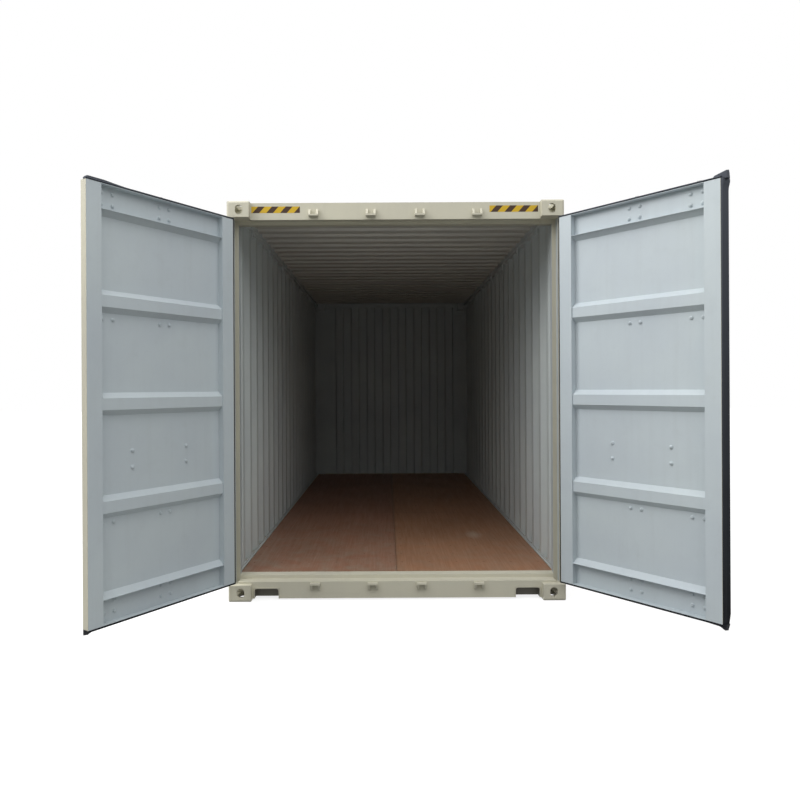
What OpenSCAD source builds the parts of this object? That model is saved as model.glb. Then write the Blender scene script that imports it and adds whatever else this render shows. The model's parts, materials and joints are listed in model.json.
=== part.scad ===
// Twenty-foot high-cube steel dry-cargo container with its two end doors standing open.
// Millimetres. The doors close the +X end, Z is up, and the origin is the middle of the base.

/* [Overall] */
// Outside length over the corner castings
length = 6058; // [5400:1:6400]
// Outside width over the corner castings
width = 2438; // [2400:1:2500]
// Outside height over the corner castings
height = 2896; // [2591:1:2896]
// Recess of the walls, rails and posts inside the castings' side faces
side_recess = 10; // [8:1:12]

/* [Corner castings] */
// Casting size along the container
casting_l = 178; // [174:1:190]
// Casting size across the container
casting_w = 162; // [158:1:170]
// Casting height
casting_h = 118; // [114:1:122]
// Thickness of the casting's walls
casting_wall = 14; // [10:1:18]
// Thickness of the plate that carries the twist-lock slot
casting_plate = 28; // [24:1:32]
// Radius of the casting's outer edges
casting_edge = 18; // [10:1:20]
// Length of the twist-lock slot
slot_l = 124; // [118:1:128]
// Width of the twist-lock slot
slot_w = 63.5; // [58:0.5:66]
// Slot centre from the container's end
slot_from_end = 102.5; // [98:0.5:106]
// Slot centre from the container's side
slot_from_side = 89.5; // [86:0.5:93]
// Width of the hole in the casting's end face
end_hole_w = 54; // [48:0.5:66]
// Width of the hole in the casting's side face
side_hole_w = 101.5; // [96:0.5:106]
// Height of the hole in the casting's end face
end_hole_h = 68; // [66:0.5:80]
// Height of the hole in the casting's side face
side_hole_h = 79.5; // [72:0.5:82]
// Centre of the end face's hole above the casting's slotted face
end_hole_z = 64; // [62:1:66]
// Centre of the side face's hole above the casting's slotted face
side_hole_z = 57; // [56:1:60]

/* [Door end frame] */
// Depth of the header's and sill's front faces behind the end plane
end_face_d = 52; // [50:1:54]
// Drop of the header's and roof's top below the castings' top
header_drop = 6; // [4:1:10]
// Height of the header's face
header_h = 123; // [118:1:128]
// Plate thickness of the header
header_plate = 4; // [3:0.5:6]
// Drop of the header's stop below its face
header_stop = 20; // [14:1:26]
// Underside of the sill
sill_bottom = 12; // [8:1:20]
// Top of the sill at the step that stops the doors
sill_top = 137; // [132:1:140]
// Fall of the sill's top from that step to its front edge
sill_fall = 4; // [2:1:8]
// Height of the step
sill_step = 26; // [18:1:30]
// Plate thickness of the sill
sill_plate = 5; // [3:0.5:6]
// Length of each opening cut in the sill
sill_cut_l = 191; // [150:1:205]
// Gap from that opening to the corner casting
sill_cut_gap = 11; // [8:1:30]
// Height of the openings cut in the sill
sill_cut_h = 79; // [66:1:84]
// Thickness of the plate that lines the sill openings
sill_liner = 8; // [6:1:12]
// Radius of the lined openings' upper corners
sill_cut_r = 18; // [10:1:24]
// How far that plate stands out of the sill's face
sill_liner_proud = 4; // [2:1:8]

/* [Posts and rails] */
// Thickness of the hot-rolled door post
j_bar_t = 12; // [10:1:13]
// Width of the door post's stop, across the container
j_bar_w = 54; // [46:1:58]
// Thickness of the door post's leg behind the hinges
j_bar_leg = 24; // [20:1:25]
// Depth of the door post's front edge behind the end plane
j_bar_d = 65; // [62:1:70]
// Thickness of the pressed corner posts
post_t = 6; // [4:1:8]
// Width of the closed end posts' inner flange
post_flange = 42; // [38:1:46]
// Size of the square top rails
top_rail = 60; // [54:1:66]
// Wall thickness of the top rails
top_rail_t = 3; // [2:0.5:5]
// Underside of the bottom side rails
rail_bottom = 16; // [13:1:17]
// Top of the bottom side rails
rail_top = 178; // [177:1:184]
// Width of the bottom side rail's upper flange
rail_flange = 48; // [44:1:54]
// Width of the bottom side rail's lower flange
rail_foot = 30; // [25:1:40]
// Plate thickness of the bottom side rails
rail_t = 4.5; // [3:0.5:5]
// Recess of the closed end's wall and rails behind its end plane
front_recess = 12; // [10:1:16]
// Depth of the rails at the closed end
front_rail = 60; // [56:1:66]

/* [Walls and roof] */
// Sheet thickness of the walls, the roof and the door panels
sheet = 2; // [1.6:0.1:3]
// Pitch of the side walls' corrugation
side_pitch = 278; // [260:1:300]
// Depth of the side walls' corrugation over the sheet
side_depth = 36; // [32:1:40]
// Pitch of the end wall's corrugation
end_pitch = 250; // [230:1:264]
// Depth of the end wall's corrugation over the sheet
end_depth = 46; // [40:1:50]
// Pitch of the roof's corrugation
roof_pitch = 209; // [190:1:230]
// Depth of the roof's corrugation over the sheet
roof_depth = 22; // [16:1:26]

/* [Floor and base] */
// Top of the plywood floor
floor_top = 172; // [168:1:173]
// Thickness of the plywood floor
floor_t = 28; // [27:1:30]
// Gap from the floor to the bottom side rail's flange
floor_gap = 1; // [0.5:0.5:3]
// Seam between the two runs of boards
floor_seam = 2; // [1:0.5:4]
// Height of the cross members
cross_h = 122; // [112:1:122]
// Flange width of the cross members
cross_w = 45; // [40:1:50]
// Plate thickness of the cross members
cross_t = 4; // [3:0.5:5]
// Cross members in each of the three bays between the forklift pockets
cross_per_bay = 5; // [4:1:6]
// Spacing of the forklift pockets along the container
pocket_span = 2050; // [2000:1:2080]
// Clear width of a forklift pocket
pocket_w = 360; // [340:1:370]
// Plate thickness of the forklift pockets
pocket_t = 6; // [4:1:8]
// Length of the strap under each end of a pocket
pocket_strap = 200; // [150:1:300]
// Height of the steel angle along the foot of each side wall
guide_h = 22; // [16:1:60]
// Thickness of that angle
guide_t = 3; // [2:0.5:4]

/* [Door hinges] */
// Hinge pin inside the castings' side faces
pin_in = 15; // [15:0.5:17]
// Hinge pin behind the end plane
pin_d = 30; // [28:1:32]
// Radius of the hinge pins
pin_r = 9; // [8:0.5:10]
// Running clearance between a pin and its blade, on the radius
pin_clearance = 0.1; // [0.05:0.05:0.3]
// Radius of the knuckles and lugs around the pins
knuckle_r = 15; // [13:0.5:15]
// Height of a hinge blade
blade_h = 54; // [44:1:60]
// Length of a hinge blade from its pin
blade_l = 150; // [120:1:190]
// Thickness of a hinge blade
blade_t = 12; // [8:1:14]
// Height of a hinge lug
lug_h = 24; // [18:1:30]
// Gap between a blade and its lugs
lug_gap = 0.5; // [0.3:0.1:0.9]
// Height of the head on a hinge pin
pin_head_h = 6; // [4:1:10]
// Hinges on each door
hinge_count = 4; // [3:1:5]
// Lowest and highest hinge from the ends of the leaf
hinge_margin = 210; // [160:1:300]

/* [Door leaves] */
// How far the left door stands open, in degrees
left_open = 123; // [0:1:265]
// How far the right door stands open, in degrees
right_open = 128; // [0:1:265]
// Gap between a leaf's steel frame and the header or sill
leaf_gap = 20; // [18:1:26]
// Thickness of a leaf
leaf_t = 48; // [46:1:52]
// Gap from the hinge pin to the leaf's edge
leaf_a = 44; // [40:1:46]
// Distance of the leaf's outer face behind the hinge pin
leaf_c = 35; // [34:1:38]
// Half of the gap between the closed leaves
leaf_half_gap = 13; // [12:1:16]
// Gap from the closed leaves' inner faces to their stop
stop_gap = 10; // [8:1:14]
// Width of a leaf's upright tubes
stile_w = 100; // [80:1:110]
// Wall thickness of the upright tubes
stile_t = 3.2; // [2.5:0.1:5]
// Height of a leaf's top and bottom channels
channel_h = 150; // [120:1:160]
// Plate thickness of the channels
channel_t = 3; // [2.5:0.5:5]
// Depth of the panel's pressed ribs
rib_depth = 38; // [30:1:40]
// Width of a rib's crest
rib_crest = 70; // [60:1:80]
// Width of a rib's slope
rib_slope = 33; // [25:1:38]
// How far the rubber seal stands out past a leaf's edge
seal_lip = 14; // [10:1:14]
// Thickness of the seal
seal_t = 26; // [20:1:30]
// How far the centre seal stands out past the right leaf's free edge
centre_seal_lip = 10; // [8:1:11]

/* [Lock gear] */
// Outer lock rod from the container's middle
rod_far_y = 595; // [570:1:620]
// Inner lock rod from the container's middle
rod_near_y = 178; // [170:1:190]
// Radius of the lock rods
rod_r = 16; // [13:0.5:16]
// Lock rod centre in front of the leaf's outer face
rod_off = 34; // [34:1:36]
// Height of the header's cam keepers above its lower edge
keeper_rise = 48; // [44:1:54]
// Depth of the sill's cam keepers below the sill's top
keeper_fall = 36; // [33:1:44]
// Half height of a cam keeper
keeper_half_h = 25; // [23:1:28]
// Half width of a cam keeper
keeper_half_w = 36; // [34:1:40]
// Thickness of a cam keeper's lugs
keeper_t = 16; // [12:1:16]
// Thickness of the plate that joins a keeper's lugs
keeper_plate = 12; // [8:1:14]
// How far a cam keeper stands out
keeper_out = 36; // [30:1:40]
// Gap between a rod's end and its keeper's plate
rod_end_gap = 7; // [6:1:9]
// Reach of a rod's cam from the rod's axis
cam_reach = 28; // [24:1:30]
// Thickness of a rod's cam
cam_t = 16; // [12:1:20]
// Height of a rod's cam
cam_h = 40; // [30:1:42]
// Width of a rod bracket's base plate
bracket_w = 104; // [90:1:120]
// Height of a rod bracket's base plate at the channels
bracket_h = 100; // [80:1:110]
// Height of the bearing around the rod
bearing_h = 44; // [36:1:56]
// Wall of the bearing around the rod
bearing_wall = 9; // [6:1:12]
// Clearance between the rod and what surrounds it
rod_clearance = 0.3; // [0.1:0.1:0.8]
// Plate thickness of the brackets and retainers
bracket_t = 6; // [5:1:8]
// Length of a handle from its rod
handle_l = 340; // [300:1:360]
// Height of a handle's bar
handle_h = 34; // [28:1:40]
// Thickness of a handle's bar
handle_t = 12; // [8:1:14]
// Wall of a handle's hub
hub_wall = 8; // [6:1:12]
// Height of a handle's hub
hub_h = 60; // [50:1:80]
// Distance of a handle's retainer from its rod
retainer_off = 172; // [150:1:200]
// Width of a handle's retainer
retainer_w = 70; // [60:1:90]
// Height of a handle's retainer
retainer_h = 150; // [130:1:170]
// Width of a retainer's hooks
hook_w = 36; // [28:1:44]
// Height of a retainer's hooks
hook_h = 16; // [12:1:20]
// Play between a handle and its hooks
hook_play = 0.6; // [0.3:0.1:0.9]

/* [Lashing rings and vents] */
// First and last ring from the ends of the top rails
ring_margin = 472; // [400:1:560]
// Rings under each top rail
ring_count = 7; // [5:1:7]
// Radius of a ring's bend
ring_r = 22; // [18:1:26]
// Radius of a ring's wire
ring_wire = 5; // [4:0.5:6]
// Drop of a ring below its rail
ring_drop = 52; // [40:1:60]
// Crests between each vent and the middle of its side wall
vent_crest_count = 5; // [3:1:6]
// Width of a vent's cover
vent_w = 62; // [50:1:66]
// Height of a vent's cover
vent_h = 150; // [120:1:180]
// Thickness of a vent's cover
vent_t = 8; // [6:1:8]
// Drop of a vent below the top rail
vent_drop = 120; // [80:1:200]

/* [Hidden] */
$fn = 48;
// Overrun of every cut beyond the face that it leaves
over = 1;
// Heights of the panel's ribs, the rod brackets and the handles on a leaf
rib_shares = [0.265, 0.5, 0.735];
bracket_shares = [0.0344, 0.227, 0.697, 0.971];
handle_share = 0.3676;
// Crest and slope of each corrugation, of its pitch
side_crest_share = 0.26;
side_slope_share = 0.245;
end_crest_share = 0.44;
end_slope_share = 0.072;
roof_crest_share = 0.435;
roof_slope_share = 0.065;
// Where a hinge blade's arm leaves its knuckle, of the knuckle's radius
arm_root_shares = [0.6, 0.7];
arm_heel_share = 0.85;
// Where that arm meets its flat end, of the blade's thickness past the leaf's edge
arm_bend_share = 0.7;
// Depth of a keeper's lugs at their far end, of their depth at the plate
lug_tip_share = 0.4;
// Slots in a vent's cover, of its height and width
vent_slot_shares = [-0.28, 0, 0.28];
vent_slot_h_share = 0.1;
vent_slot_w_share = 0.7;
half_l = length / 2;
half_w = width / 2;
side_y = half_w - side_recess;
casting_y = half_w - casting_w;
casting_x = half_l - casting_l;
top_casting_z = height - casting_h;
header_top = height - header_drop;
header_bottom = header_top - header_h;
stop_z = header_bottom - header_stop;
pin_x = half_l - pin_d;
pin_y = half_w - pin_in;
leaf_z = sill_top + leaf_gap;
leaf_h = header_bottom - leaf_gap - leaf_z;
leaf_w = pin_y - leaf_a - leaf_half_gap;
leaf_end = leaf_a + leaf_w;
leaf_top = leaf_z + leaf_h;
leaf_out = -leaf_c;
leaf_in = -leaf_c - leaf_t;
rod_v = leaf_out + rod_off;
rod_us = [pin_y - rod_far_y, pin_y - rod_near_y];
stop_d = pin_d + leaf_c + leaf_t + stop_gap;
stop_y = side_y - j_bar_w;
wall_top = header_top - top_rail;
handle_z = leaf_z + leaf_h * handle_share;
hinge_step = (leaf_h - 2 * hinge_margin) / (hinge_count - 1);
hinge_zs = [for (i = [0 : hinge_count - 1]) leaf_z + hinge_margin + i * hinge_step];
keeper_ys = [-rod_far_y, -rod_near_y, rod_near_y, rod_far_y];
keeper_top_z = header_bottom + keeper_rise;
keeper_low_z = sill_top - keeper_fall;
rod_low = keeper_low_z + keeper_half_h + rod_end_gap;
rod_high = keeper_top_z - keeper_half_h - rod_end_gap;
pocket_half = pocket_w / 2 + pocket_t;
cross_top = floor_top - floor_t;
sill_cut_near = casting_y - sill_cut_gap - sill_cut_l;
side_count = floor(2 * casting_x / side_pitch);
ring_step = (2 * casting_x - 2 * ring_margin) / (ring_count - 1);
// Paint colours of the outside, the inside and the bare fittings
cream = [0.72, 0.71, 0.65];
inside_grey = [0.66, 0.70, 0.71];
wall_grey = [0.52, 0.54, 0.55];
rubber_black = [0.13, 0.13, 0.14];
ply_brown = [0.48, 0.35, 0.29];
zinc = [0.60, 0.61, 0.60];

// Shared helpers

// A copy on the left and a copy on the right of the container
module both_sides() {
    children();
    mirror([0, 1, 0]) children();
}

// A copy at the door end and a copy at the closed end
module both_ends() {
    children();
    mirror([1, 0, 0]) children();
}

// Places a profile, drawn as depth behind the door end plane against height, along Y
module along_y(half_span) {
    translate([half_l, half_span, 0]) rotate([90, 0, 0]) mirror([1, 0, 0])
        linear_extrude(2 * half_span) children();
}

// Places a profile, drawn as distance from the middle against height, along X between the castings
module along_x() {
    translate([-casting_x, 0, 0]) rotate([90, 0, 90]) linear_extrude(2 * casting_x) children();
}

// A slot with round ends, drawn flat, with its length along X
module obround(l, w) {
    square([l - w, w], center = true);
    for (s = [-1, 1]) translate([s * (l - w) / 2, 0]) circle(d = w);
}

// A flat rectangle that is rounded at the origin
module round_corner(w, h, r) {
    translate([0, r]) square([w, h - r]);
    translate([r, 0]) square([w - r, h]);
    translate([r, r]) circle(r = r);
}

// Points of a trapezoid corrugation: full pitches from a start, each from its crest at level high
function waves(start, count, pitch, crest_share, slope_share, low, high) =
    [for (i = [0 : count - 1], p = [[0, high], [crest_share, high], [crest_share + slope_share, low],
        [1 - slope_share, low]]) [start + (i + p[0]) * pitch, p[1]]];

// A corrugated line centred between two ends, with flat strips at level high beside the waves
function wavy_line(half_span, pitch, crest_share, slope_share, low, high) =
    let (count = floor(2 * half_span / pitch), first = -count * pitch / 2)
    concat([[-half_span, high]], waves(first, count, pitch, crest_share, slope_share, low, high),
        [[first + count * pitch, high], [half_span, high]]);

// A sheet of even thickness below a line of points, drawn flat
module sheet_along(points) {
    polygon(concat(points, [for (i = [len(points) - 1 : -1 : 0]) points[i] - [0, sheet]]));
}

// Hangs a leaf's pieces on the right pin at the angle where the right door stands
module right_leaf() {
    translate([pin_x, pin_y, 0]) rotate([0, 0, right_open - 90]) children();
}

// Hangs a leaf's pieces on the left pin at the angle where the left door stands
module left_leaf() {
    mirror([0, 1, 0]) translate([pin_x, pin_y, 0]) rotate([0, 0, left_open - 90]) children();
}

// Corner castings

// Block of a casting with its three outer edges rounded, in the corner at the origin
module casting_block() {
    intersection() {
        mirror([1, 0, 0]) mirror([0, 1, 0]) linear_extrude(casting_h)
            round_corner(casting_l, casting_w, casting_edge);
        rotate([90, 0, 0]) linear_extrude(casting_w)
            mirror([1, 0, 0]) round_corner(casting_l, casting_h, casting_edge);
        rotate([90, 0, -90]) linear_extrude(casting_l)
            round_corner(casting_w, casting_h, casting_edge);
    }
}

// One hollow casting in the corner at the origin, with its slotted plate down
module casting() {
    cavity = [casting_l - 2 * casting_wall, casting_w - 2 * casting_wall,
        casting_h - casting_plate - casting_wall];
    difference() {
        casting_block();
        translate([casting_wall - casting_l, casting_wall - casting_w, casting_plate]) cube(cavity);
        translate([-slot_from_end, -slot_from_side, -over])
            linear_extrude(casting_plate + 2 * over) obround(slot_l, slot_w);
        translate([-casting_wall - over, -slot_from_side, end_hole_z]) rotate([0, 90, 0])
            linear_extrude(casting_wall + 2 * over) obround(end_hole_h, end_hole_w);
        translate([-slot_from_end, over, side_hole_z]) rotate([90, 0, 0])
            linear_extrude(casting_wall + 2 * over) obround(side_hole_w, side_hole_h);
    }
}

module bottom_corner_castings() {
    color(cream) both_sides() both_ends() translate([half_l, half_w, 0]) casting();
}

module top_corner_castings() {
    color(cream) both_sides() both_ends() translate([half_l, half_w, height]) mirror([0, 0, 1]) casting();
}

// Posts

// Pressed outer part of a door post, behind the hot-rolled part
module rear_posts() {
    back = casting_x;
    front = half_l - stop_d - j_bar_t;
    color(cream) both_sides() translate([0, 0, casting_h]) linear_extrude(top_casting_z - casting_h)
        difference() {
            translate([back, stop_y]) square([front - back, j_bar_w]);
            translate([back + post_t, stop_y + post_t]) square([front - back, j_bar_w - 2 * post_t]);
        }
}

// Hot-rolled part of a door post: a leg behind the hinges and a stop behind the leaf
module rear_j_bars() {
    back = half_l - stop_d - j_bar_t;
    color(cream) both_sides() translate([0, 0, casting_h]) linear_extrude(top_casting_z - casting_h)
        union() {
            translate([back, side_y - j_bar_leg]) square([half_l - j_bar_d - back, j_bar_leg]);
            translate([back, stop_y]) square([j_bar_t, j_bar_w]);
        }
}

// Pressed open-section posts at the closed end
module front_posts() {
    outer = -half_l + front_recess;
    color(cream) both_sides() translate([0, 0, casting_h]) linear_extrude(top_casting_z - casting_h)
        union() {
            translate([outer, casting_y]) square([post_t, side_y - casting_y]);
            translate([outer, side_y - post_t]) square([-casting_x - outer, post_t]);
            translate([-casting_x - post_t, side_y - post_flange]) square([post_t, post_flange]);
        }
}

// Door end frame

// Box-section header with a stop behind the leaves
module door_header() {
    back = casting_l;
    t = header_plate;
    color(cream) {
        along_y(casting_y) difference() {
            polygon([[end_face_d, header_bottom], [end_face_d, header_top], [back, header_top],
                [back, stop_z], [stop_d, stop_z], [stop_d, header_bottom]]);
            polygon([[end_face_d + t, header_bottom + t], [end_face_d + t, header_top - t],
                [back - t, header_top - t], [back - t, stop_z + t], [stop_d + t, stop_z + t],
                [stop_d + t, header_bottom + t]]);
        }
        for (s = [-1, 1]) translate([0, s * (casting_y + stop_y) / 2, 0]) along_y((stop_y - casting_y) / 2)
            difference() {
                polygon([[stop_d, stop_z], [back, stop_z], [back, top_casting_z], [stop_d, top_casting_z]]);
                polygon([[stop_d + t, stop_z + t], [back - t, stop_z + t],
                    [back - t, top_casting_z - t], [stop_d + t, top_casting_z - t]]);
            }
    }
}

// Flat shape of the sill down to a level, as depth against height, drawn smaller by an inset
module sill_profile(low, inset) {
    front = end_face_d + inset;
    step = stop_d + inset;
    back = casting_l - inset;
    polygon([[front, low], [front, sill_top - sill_fall - inset], [step, sill_top - inset],
        [step, sill_top + sill_step - inset], [back, floor_top - inset], [back, low]]);
}

// Pressed sill with a step that stops the leaves, and two openings in its face
module door_sill() {
    cut = [sill_plate + 2 * over, sill_cut_l, sill_cut_h + over];
    color(cream) difference() {
        union() {
            along_y(casting_y) sill_profile(sill_bottom, 0);
            along_y(stop_y) sill_profile(casting_h, 0);
        }
        along_y(casting_y) sill_profile(sill_bottom - over, sill_plate);
        both_sides() translate([half_l - end_face_d - sill_plate - over, sill_cut_near, sill_bottom - over])
            cube(cut);
    }
}

// Thick plates that line the openings in the sill's face, with a plate behind each opening
module sill_liners() {
    depth = stop_d - end_face_d;
    clear = [sill_cut_l - 2 * sill_liner, sill_cut_h - sill_liner];
    back = half_l - end_face_d - depth;
    color(cream) both_sides() translate([back, sill_cut_near, sill_bottom]) difference() {
        rotate([90, 0, 90]) linear_extrude(depth + sill_liner_proud) square([sill_cut_l, sill_cut_h]);
        translate([sill_liner, sill_liner, -over]) rotate([90, 0, 90]) linear_extrude(depth + sill_liner)
            union() {
                square([clear[0], clear[1] - sill_cut_r + over]);
                translate([sill_cut_r, 0]) square([clear[0] - 2 * sill_cut_r, clear[1] + over]);
                for (y = [sill_cut_r, clear[0] - sill_cut_r])
                    translate([y, clear[1] - sill_cut_r + over]) circle(r = sill_cut_r);
            }
    }
}

// One keeper: two lugs that stand on a plate, which faces the leaf, and grow shallower away from it
module keeper() {
    tip = keeper_out * lug_tip_share;
    low = -keeper_half_h;
    union() {
        translate([0, -keeper_half_w, low]) cube([keeper_out, 2 * keeper_half_w, keeper_plate]);
        for (y = [keeper_t - keeper_half_w, keeper_half_w]) translate([0, y, 0]) rotate([90, 0, 0])
            linear_extrude(keeper_t) polygon([[0, low], [keeper_out, low], [keeper_out, low + keeper_plate],
                [tip, keeper_half_h], [0, keeper_half_h]]);
    }
}

module header_keepers() {
    color(cream) for (y = keeper_ys) translate([half_l - end_face_d, y, keeper_top_z]) keeper();
}

module sill_keepers() {
    color(cream) for (y = keeper_ys)
        translate([half_l - end_face_d, y, keeper_low_z]) mirror([0, 0, 1]) keeper();
}

// Rails

// Square tube over the closed end, with a plate that reaches back to the roof
module front_top_rail() {
    t = top_rail_t;
    outer = -half_l + front_recess;
    color(cream) union() {
        difference() {
            translate([outer, -casting_y, wall_top]) cube([front_rail, 2 * casting_y, top_rail]);
            translate([outer + t, -casting_y - over, wall_top + t])
                cube([front_rail - 2 * t, 2 * (casting_y + over), top_rail - 2 * t]);
        }
        translate([outer, -casting_y, header_top - t])
            cube([casting_l - front_recess, 2 * casting_y, t]);
    }
}

// Channel under the closed end's wall
module front_bottom_rail() {
    outer = -half_l + front_recess;
    color(cream) difference() {
        translate([outer, -casting_y, rail_bottom]) cube([front_rail, 2 * casting_y, rail_top - rail_bottom]);
        translate([outer + rail_t, -casting_y - over, rail_bottom + rail_t])
            cube([front_rail, 2 * (casting_y + over), rail_top - rail_bottom - 2 * rail_t]);
    }
}

// Square tubes over the side walls
module top_side_rails() {
    t = top_rail_t;
    color(cream) both_sides() along_x() difference() {
        translate([side_y - top_rail, wall_top]) square(top_rail);
        translate([side_y - top_rail + t, wall_top + t]) square(top_rail - 2 * t);
    }
}

// Channels under the side walls, cut away at the forklift pockets
module bottom_side_rails() {
    t = rail_t;
    color(cream) both_sides() difference() {
        along_x() union() {
            translate([side_y - t, rail_bottom]) square([t, rail_top - rail_bottom]);
            translate([side_y - rail_flange, rail_top - t]) square([rail_flange, t]);
            translate([side_y - rail_foot, rail_bottom]) square([rail_foot, t]);
        }
        for (s = [-1, 1])
            translate([s * pocket_span / 2 - pocket_half, side_y - rail_flange, rail_bottom - over])
                cube([2 * pocket_half, rail_flange + over, cross_top - rail_bottom + over]);
    }
}

// Walls and roof

// One corrugated side wall between the posts
module side_wall() {
    translate([0, 0, rail_top]) linear_extrude(wall_top - rail_top) sheet_along(wavy_line(casting_x,
        side_pitch, side_crest_share, side_slope_share, side_y - side_depth + sheet, side_y));
}

module left_side_wall() {
    color(wall_grey) mirror([0, 1, 0]) side_wall();
}

module right_side_wall() {
    color(wall_grey) side_wall();
}

// Corrugated wall of the closed end
module front_wall() {
    outer = half_l - front_recess;
    color(wall_grey) translate([0, 0, rail_top]) linear_extrude(wall_top - rail_top) rotate([0, 0, 90])
        sheet_along(wavy_line(casting_y, end_pitch, end_crest_share, end_slope_share,
            outer - end_depth + sheet, outer));
}

// Corrugated roof between the top rails
module roof_panel() {
    span = side_y - top_rail;
    color(wall_grey) translate([0, span, 0]) rotate([90, 0, 0]) linear_extrude(2 * span)
        sheet_along(wavy_line(casting_x, roof_pitch, roof_crest_share, roof_slope_share,
            header_top - roof_depth + sheet, header_top));
}

// Floor and base

// Channels that carry the floor between the bottom side rails
module cross_members() {
    reach = side_y - rail_t;
    near = pocket_span / 2 - pocket_half;
    far = pocket_span / 2 + pocket_half;
    bays = [[-casting_x, -far], [-near, near], [far, casting_x]];
    color(wall_grey) for (bay = bays, i = [1 : cross_per_bay])
        translate([bay[0] + i * (bay[1] - bay[0]) / (cross_per_bay + 1), 0, cross_top - cross_h])
            difference() {
                translate([-cross_w / 2, -reach, 0]) cube([cross_w, 2 * reach, cross_h]);
                translate([cross_t - cross_w / 2, -reach - over, cross_t])
                    cube([cross_w, 2 * (reach + over), cross_h - 2 * cross_t]);
            }
}

// Tunnels for forklift tines, open below except for a strap at each end
module forklift_pockets() {
    h = cross_top - rail_bottom;
    color(cream) for (s = [-1, 1]) translate([s * pocket_span / 2, 0, rail_bottom]) difference() {
        translate([-pocket_half, -side_y, 0]) cube([2 * pocket_half, 2 * side_y, h]);
        translate([-pocket_w / 2, -side_y - over, pocket_t])
            cube([pocket_w, 2 * (side_y + over), h - 2 * pocket_t]);
        translate([-pocket_w / 2, pocket_strap - side_y, -over])
            cube([pocket_w, 2 * (side_y - pocket_strap), pocket_t + 2 * over]);
    }
}

// One run of plywood boards beside the seam
module floor_run() {
    front = -half_l + front_recess + end_depth;
    far = side_y - rail_flange - floor_gap;
    translate([front, floor_seam / 2, cross_top]) cube([casting_x - front, far - floor_seam / 2, floor_t]);
}

module left_floor_boards() {
    color(ply_brown) mirror([0, 1, 0]) floor_run();
}

module right_floor_boards() {
    color(ply_brown) floor_run();
}

// Steel angles along the foot of the side walls
module floor_guides() {
    inner = side_y - rail_flange;
    wall = side_y - side_depth;
    color(wall_grey) both_sides() along_x() translate([0, rail_top]) union() {
        translate([inner, 0]) square([wall - inner, guide_t]);
        translate([wall - guide_t, 0]) square([guide_t, guide_h]);
    }
}

// Wire loops welded under the top side rails
module lashing_rings() {
    leg = ring_drop - ring_r;
    color(wall_grey) both_sides() for (i = [0 : ring_count - 1])
        translate([ring_margin - casting_x + i * ring_step, side_y - top_rail + ring_wire, wall_top - leg])
            union() {
                rotate([90, 0, 0]) rotate([0, 0, 180]) rotate_extrude(angle = 180)
                    translate([ring_r, 0]) circle(r = ring_wire);
                for (s = [-1, 1]) translate([s * ring_r, 0, 0]) cylinder(r = ring_wire, h = leg);
            }
}

// Slotted covers of the vents, on crests of the side walls
module side_vents() {
    first = -side_count * side_pitch / 2;
    middle = floor(side_count / 2);
    slot = [vent_w * vent_slot_w_share, vent_t, vent_h * vent_slot_h_share];
    color(cream) both_sides() for (s = [-1, 1])
        translate([first + (middle + s * vent_crest_count + side_crest_share / 2) * side_pitch, side_y,
            wall_top - vent_drop - vent_h / 2]) difference() {
                translate([-vent_w / 2, 0, -vent_h / 2]) cube([vent_w, vent_t, vent_h]);
                for (share = vent_slot_shares)
                    translate([-slot[0] / 2, vent_t / 2, share * vent_h - slot[2] / 2]) cube(slot);
            }
}

// Door hinges

// Lugs on a door post with the pin that runs through them
module hinge_lugs() {
    pin_half = blade_h / 2 + lug_gap + lug_h;
    stem = j_bar_d - pin_d;
    color(cream) both_sides() for (z = hinge_zs) translate([pin_x, pin_y, z]) union() {
        for (low = [-pin_half, pin_half - lug_h]) translate([0, 0, low]) {
            cylinder(r = knuckle_r, h = lug_h);
            translate([-stem, side_y - j_bar_t - pin_y, 0]) cube([stem, j_bar_t, lug_h]);
        }
        translate([0, 0, -pin_half]) cylinder(r = pin_r, h = 2 * pin_half + pin_head_h);
    }
}

// Straps that carry a leaf, with a knuckle around each pin
module hinge_blades() {
    face = leaf_out + blade_t;
    heel = leaf_out + blade_t / 2;
    bend = leaf_a + blade_t * arm_bend_share;
    arm = [knuckle_r * arm_root_shares, [bend, face], [blade_l, face], [blade_l, leaf_out],
        [leaf_a + blade_t, leaf_out], [leaf_a, heel], [0, -knuckle_r * arm_heel_share]];
    for (z = hinge_zs) translate([0, 0, z - blade_h / 2]) linear_extrude(blade_h) difference() {
        union() {
            circle(r = knuckle_r);
            polygon(arm);
        }
        circle(r = pin_r + pin_clearance);
    }
}

// Door leaves, drawn from the hinge pin with the leaf's width along X and its outside along +Y

// Welded frame of two tubes and two channels
module door_frame() {
    inner_w = leaf_w - 2 * stile_w;
    union() {
        for (u = [leaf_a, leaf_end - stile_w]) difference() {
            translate([u, leaf_in, leaf_z]) cube([stile_w, leaf_t, leaf_h]);
            translate([u + stile_t, leaf_in + stile_t, leaf_z - over])
                cube([stile_w - 2 * stile_t, leaf_t - 2 * stile_t, leaf_h + 2 * over]);
        }
        for (z = [leaf_z, leaf_top - channel_h]) difference() {
            translate([leaf_a + stile_w, leaf_in, z]) cube([inner_w, leaf_t, channel_h]);
            translate([leaf_a + stile_w - over, leaf_in - over, z + channel_t])
                cube([inner_w + 2 * over, leaf_t - channel_t + over, channel_h - 2 * channel_t]);
        }
    }
}

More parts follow.
